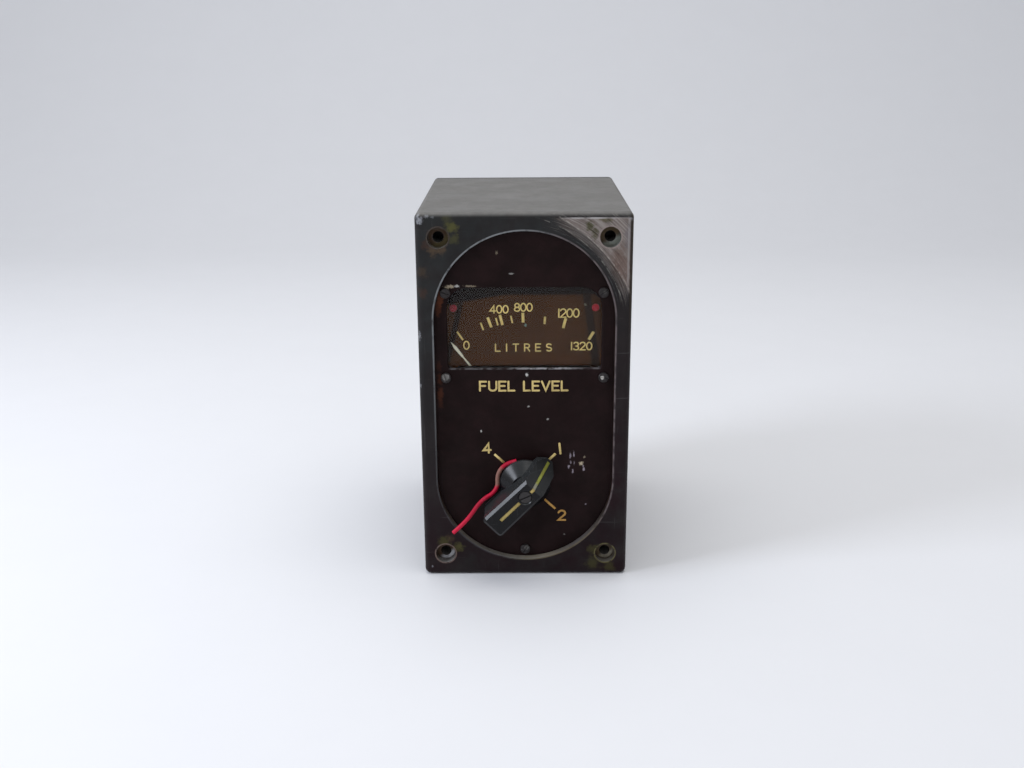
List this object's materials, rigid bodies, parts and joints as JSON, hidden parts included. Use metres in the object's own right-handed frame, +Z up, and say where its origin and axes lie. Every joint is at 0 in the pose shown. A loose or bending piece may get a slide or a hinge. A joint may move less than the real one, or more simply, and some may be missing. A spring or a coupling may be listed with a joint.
{
  "type": "fuel quantity indicator",
  "caption": "Upright boxed panel instrument with a windowed arc dial, a pointer, a tank selector knob below it and a round electrical connector behind.",
  "frame": {"origin": "centre of the four panel mounting holes, on the front face of the bezel", "axes": "+Z up the dial, +X to the right as seen from the front, +Y into the case towards the connector"},
  "size_m": [0.0826, 0.1396, 0.1492],
  "materials": {
    "case_paint": "worn satin blue-black paint over cast aluminium",
    "plate_paint": "satin brown-black paint",
    "dial_paint": "matt dark brown dial paint",
    "glass": "clear flat glass",
    "rubber": "moulded seal rubber",
    "pointer_white": "matt white paint",
    "red_lacquer": "red locking lacquer",
    "screw_black": "black oxide, worn on the slots",
    "steel": "plated steel",
    "brass": "turned brass",
    "copper": "plain copper",
    "iron": "soft iron",
    "magnet": "sintered magnet",
    "aluminium": "machined aluminium",
    "rear_paint": "satin blue-black paint",
    "laminate": "phenolic laminate",
    "bobbin": "moulded phenolic",
    "enamel_wire": "enamelled copper wire",
    "ceramic": "vitreous resistor body",
    "knob_black": "glossy black phenolic",
    "lead_red": "red wire insulation",
    "loom": "sleeved wires",
    "connector": "dull plated aluminium",
    "insert": "dark moulded insert",
    "pin_gold": "plated contact pins"
  },
  "bodies": {
    "case": {"case_housing": "case_paint", "front_plate": "plate_paint", "plate_gasket": "rubber", "plate_screws": "screw_black", "window_glass": "glass", "glass_seal": "rubber", "glass_clamps": "aluminium", "clamp_screws": "steel", "dial_plate": "dial_paint", "dial_screws_red": "red_lacquer", "dial_screws_lower": "steel", "dial_posts": "aluminium", "pointer_stops": "steel", "front_bearing": "brass", "rear_bearing": "brass", "damping_can": "copper", "movement_yoke": "iron", "coil_bobbins": "bobbin", "coil_windings": "enamel_wire", "movement_pillars": "brass", "bridge_nuts": "steel", "rear_bridge": "brass", "return_magnet": "magnet", "chassis_plate": "aluminium", "chassis_screws": "steel", "chassis_pillars": "aluminium", "rear_chassis_plate": "aluminium", "board_spacers": "brass", "component_board": "laminate", "resistors": "ceramic", "trimmers": "insert", "selector_bushing": "brass", "bushing_washer": "steel", "bushing_nut": "steel", "switch_frame": "steel", "detent_ball": "steel", "detent_spring": "steel", "tie_rods": "steel", "tie_rod_nuts": "brass", "wafer_spacers": "brass", "switch_wafers": "laminate", "switch_contacts": "pin_gold", "wiring_loom": "loom", "rear_gasket": "rubber", "rear_cover": "rear_paint", "cover_screws": "screw_black", "connector_shell": "connector", "connector_insert": "insert", "connector_pins": "pin_gold", "connector_screws": "steel"},
    "pointer": {"pointer_blade": "pointer_white", "pointer_hub": "brass", "pointer_staff": "steel", "rotor_magnet": "magnet"},
    "selector": {"selector_knob": "knob_black", "knob_screw": "screw_black", "selector_shaft": "brass", "detent_wheel": "steel", "switch_rotors": "laminate", "red_lead": "lead_red"}
  },
  "joints": [
    {"name": "pointer_turn", "type": "hinge", "parent": "case", "child": "pointer", "pos_m": [0, 0.02, -0.0152], "axis": [0, 1, 0], "range_deg": [0, 75.2]},
    {"name": "selector_turn", "type": "hinge", "parent": "case", "child": "selector", "pos_m": [0, 0, -0.0345], "axis": [0, 1, 0], "range_deg": [0, 270]}
  ]
}
